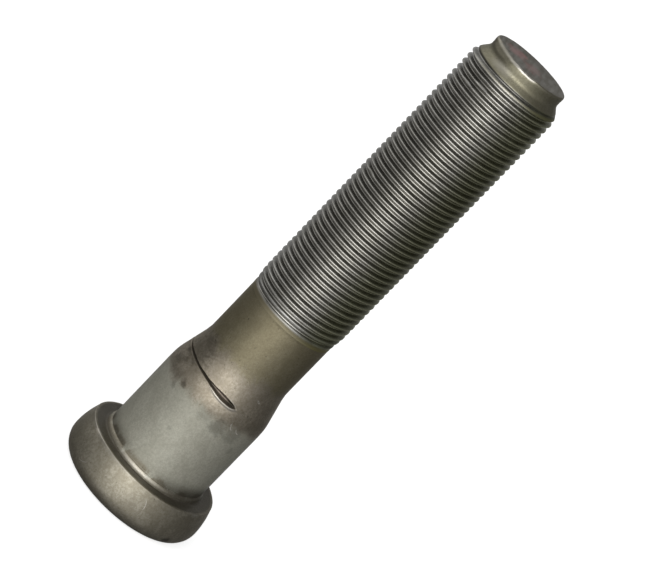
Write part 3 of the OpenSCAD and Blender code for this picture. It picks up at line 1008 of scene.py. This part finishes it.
def thread_steel(kit):
    """The rolled thread: painted shade in its grooves, its ridges rubbed bright with a painted highlight,
    painted highlights on its roots, and painted shade towards +X.
    """
    look = kit.look
    made, n = kit.material("rolled_thread")
    mottle = kit.use(n, kit.mottle, patch_size=3.0, grain_size=0.16, stretch=1.6)
    scratches = kit.use(n, kit.scratches, round=9.0, along=2.0, amount=0.6)["Scratches"]
    crest, root, rolled = (n.mask(name) for name in ("crest", "root", "rolled"))
    darker = n.tinted(look.thread_colour, THREAD_TINT)
    from_oily = n.math("ABSOLUTE", n.math("SUBTRACT", kit.height(n), OILY_HEIGHT))
    base = n.layered(look.thread_colour,
                     (n.remap(mottle["Patches"], 0.0, 1.0, 0.7, 0.0), darker),
                     (n.remap(from_oily, 30.0, 4.0, 0.0, 0.45), darker))
    at_point = n.remap(kit.height(n), *kit.bolt.point_border)
    plain = n.mix(at_point, look.shank_colour, look.point_colour)
    # Crests rubbed bright with a painted highlight; painted highlights on the roots and the last ridge
    rubbed_and_highlight = n.times(crest, n.remap(mottle["Grain"], 0.35, 0.6, 0.3, 0.8))
    rubbed_and_highlight = n.strongest(rubbed_and_highlight, n.times(root, ROOT_HIGHLIGHT), n.mask("bare"))
    # Painted shade in the grooves, then the bright crests and roots
    base = n.layered(plain, (rolled, base),
                     (n.times(n.mask("grime"), GROOVE_COVER), look.dirt_and_shade_colour),
                     (rubbed_and_highlight, look.bright_colour))
    # Painted shade, olive, on the side towards +X
    sideways = n.add("ShaderNodeSeparateXYZ", {0: n.place()}).outputs[0]
    base = n.mix(n.remap(sideways, 2.5 * MM, 8.5 * MM), base, n.tinted(base, SIDE_SHADE_TINT))
    rough = n.remap(rolled, 0.0, 1.0, look.forged_rough, look.thread_rough)
    rough = n.plus(rough, n.times(crest, CREST_DULL))
    rough = n.math("SUBTRACT", rough, n.times(root, ROOT_GLOSS))
    rough = n.plus(rough, n.remap(mottle["Grain"], 0.3, 0.7, -0.04, 0.08))
    relief = n.plus(n.times(mottle["Grain"], 0.6), n.times(scratches, -0.6))
    kit.shade(n, base, rough, THREAD_METAL, relief, relief_height=0.008)
    return made


def end_steel(kit):
    """The cropped end face: grey, torn in one direction, with reddish stains."""
    look, top = kit.look, kit.bolt.length
    made, n = kit.material("cropped_end")
    mottle = kit.use(n, kit.mottle, patch_size=3.5, grain_size=0.2, stretch=1.0)
    turned = n.add("ShaderNodeMapping", {
        "Vector": n.place(), "Rotation": (0.0, 0.0, math.radians(28)), "Scale": (1.0, 0.16, 1.0)})
    tears = n.noise(turned.outputs[0], 1100.0, detail=2.0, rough=0.4, warp=0.2)
    stains = n.strongest(*(
        n.times(strength, kit.use(n, kit.spot, centre=(x * MM, y * MM, top * MM),
                                  radius=size * MM, raggedness=0.4)["Spot"])
        for x, y, size, strength in STAINS))
    darker = n.tinted(look.end_colour, END_TINT)
    base = n.layered(look.end_colour, (n.remap(tears, 0.35, 0.65, 0.4, 0.0), darker),
                     (n.times(mottle["Patches"], 0.3), darker),
                     (n.times(stains, STAIN_COVER), look.rust_colour),
                     (n.mask("bare"), look.bright_colour))
    rough = n.remap(tears, 0.35, 0.65, 0.6, 0.42)
    relief = n.plus(tears, n.times(mottle["Grain"], 0.4))
    kit.shade(n, base, rough, END_METAL, relief, relief_height=0.006)
    return made


# Operators


class WHEELBOLT_OT_bolt(Operator):
    """Build the bolt's steel body and dress it with its finishes"""

    bl_idname = "wheelbolt.bolt"
    bl_label = "Bolt"

    def execute(self, context):
        bolt = Outline(context.scene.wheelbolt_shape)
        made = build_bolt(bolt)
        data = bpy.data.meshes.new("bolt")
        data.from_pydata(made.points, [], made.faces)
        if data.validate():
            raise RuntimeError("the bolt's mesh had faults")
        for name, values in made.masks.items():
            data.attributes.new(name, "FLOAT", "POINT").data.foreach_set("value", values)
        kit = SteelKit(context.scene.wheelbolt_finish, bolt)
        for material in (body_steel(kit), thread_steel(kit), end_steel(kit)):
            data.materials.append(material)
        data.polygons.foreach_set("material_index", made.kinds)
        data.polygons.foreach_set("use_smooth", [True] * len(made.faces))
        piece = bpy.data.objects.new("bolt", data)
        context.collection.objects.link(piece)
        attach(piece, BODY)
        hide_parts(NODE)
        return {"FINISHED"}


SOFTBOXES = (
    # azimuth and elevation in degrees, from -Y towards +X; radiance; how narrow
    (-3.0, 33.0, 1.80, 9.0),
    (-3.0, 10.0, 0.80, 14.0),
    (-3.0, 5.0, 0.65, 2.0),
    (-115.0, 38.0, 0.70, 5.0),
    (75.0, 10.0, 0.06, 6.0),
    (180.0, -5.0, 0.45, 10.0),
)
AMBIENT = 0.065  # radiance from all round
BACKDROP = 0.98  # brightness behind the bolt


class WHEELBOLT_OT_studio(Operator):
    """Build the floor, the light and the camera"""

    bl_idname = "wheelbolt.studio"
    bl_label = "Studio"

    def execute(self, context):
        look = context.scene.wheelbolt_studio
        self.camera(context, look)
        self.floor(context, look)
        context.scene.world = self.light(look)
        context.scene.view_settings.view_transform = "Standard"
        return {"FINISHED"}

    def camera(self, context, look):
        """Camera that sees the standing bolt at the turn and tilt given."""
        data = bpy.data.cameras.new("camera")
        data.lens, data.sensor_width = look.lens, SENSOR_WIDTH
        camera = bpy.data.objects.new("camera", data)
        cos_t, sin_t = math.cos(look.tilt), math.sin(look.tilt)
        along = Vector((math.cos(look.turn), math.sin(look.turn)))
        axis = Vector((cos_t * along.x, cos_t * along.y, sin_t))
        near = Vector((-sin_t * along.x, -sin_t * along.y, cos_t))
        to_world = Matrix((axis.cross(near), -near, axis))
        focal = look.lens / SENSOR_WIDTH * PICTURE_SIZE[0]
        anchor = look.distance * Vector((
            (look.anchor[0] - PICTURE_SIZE[0] / 2) / focal,
            (PICTURE_SIZE[1] / 2 - look.anchor[1]) / focal, -1.0))
        under_face = Vector((0.0, 0.0, context.scene.wheelbolt_shape.head_h))
        camera.matrix_world = (Matrix.Translation(under_face - to_world @ anchor)
                               @ to_world.to_4x4())
        context.collection.objects.link(camera)
        context.scene.camera = camera

    def floor(self, context, look):
        """Pale floor, which the steel doesn't mirror."""
        half = look.floor_size / 2
        data = bpy.data.meshes.new("floor")
        data.from_pydata([(-half, -half, 0), (half, -half, 0), (half, half, 0), (-half, half, 0)],
                         [], [(0, 1, 2, 3)])
        pale = bpy.data.materials.new("pale_floor")
        pale.use_nodes = True
        n = Nodes(pale.node_tree)
        shader = n.add("ShaderNodeBsdfPrincipled", {
            "Base Color": look.floor_colour, "Roughness": 0.8,
            "Emission Color": WHITE, "Emission Strength": look.floor_glow})
        n.add("ShaderNodeOutputMaterial", {"Surface": shader.outputs["BSDF"]})
        data.materials.append(pale)
        floor = bpy.data.objects.new("floor", data)
        floor.visible_glossy = False
        floor.visible_diffuse = False
        floor.visible_shadow = False
        context.collection.objects.link(floor)

    def light(self, look):
        """Large soft lamps all round, as lobes of light, in front of a pale backdrop."""
        world = bpy.data.worlds.new("soft_studio")
        world.use_nodes = True
        n = Nodes(world.node_tree)
        towards = n.add("ShaderNodeTexCoord").outputs["Generated"]
        total = AMBIENT
        for azimuth, elevation, radiance, narrow in SOFTBOXES:
            rise = math.radians(elevation)
            aim = outward(azimuth) * math.cos(rise) + Vector((0, 0, math.sin(rise)))
            facing = n.add("ShaderNodeVectorMath", {0: towards, 1: aim},
                           operation="DOT_PRODUCT").outputs["Value"]
            lobe = n.math("POWER", n.math("MAXIMUM", facing, 0.0), narrow)
            total = n.plus(n.times(lobe, radiance * look.light), total)
        seen = n.add("ShaderNodeLightPath").outputs["Is Camera Ray"]
        lamps = n.add("ShaderNodeBackground", {"Color": WHITE, "Strength": total})
        backdrop = n.add("ShaderNodeBackground", {"Color": WHITE, "Strength": BACKDROP})
        both = n.add("ShaderNodeMixShader", {0: seen, 1: lamps.outputs[0], 2: backdrop.outputs[0]})
        n.add("ShaderNodeOutputWorld", {"Surface": both.outputs[0]})
        return world


class WHEELBOLT_PT_sidebar(Panel):
    """Lists the bolt's pieces, sizes and colours"""

    bl_idname = "WHEELBOLT_PT_sidebar"
    bl_label = "Wheel bolt"
    bl_space_type = "VIEW_3D"
    bl_region_type = "UI"
    bl_category = "Wheel bolt"

    def draw(self, context):
        for operator, groups in STEPS:
            box = self.layout.box()
            box.operator(operator.bl_idname)
            for name in groups:
                settings = getattr(context.scene, name)
                for key in type(settings).__annotations__:
                    box.prop(settings, key)


STEPS = (
    (WHEELBOLT_OT_bolt, ("wheelbolt_shape", "wheelbolt_finish")),
    (WHEELBOLT_OT_studio, ("wheelbolt_studio",)),
)
SETTINGS = {"wheelbolt_shape": BoltShape, "wheelbolt_finish": BoltFinish,
            "wheelbolt_studio": StudioLook}
CLASSES = (*SETTINGS.values(), WHEELBOLT_OT_bolt, WHEELBOLT_OT_studio, WHEELBOLT_PT_sidebar)


def register():
    for made in CLASSES:
        bpy.utils.register_class(made)
    for name, group in SETTINGS.items():
        setattr(bpy.types.Scene, name, PointerProperty(type=group))


def unregister():
    for name in SETTINGS:
        delattr(bpy.types.Scene, name)
    for made in reversed(CLASSES):
        bpy.utils.unregister_class(made)


def main():
    register()
    bpy.ops.wheelbolt.bolt()
    bpy.ops.wheelbolt.studio()


if __name__ == "__main__":
    main()
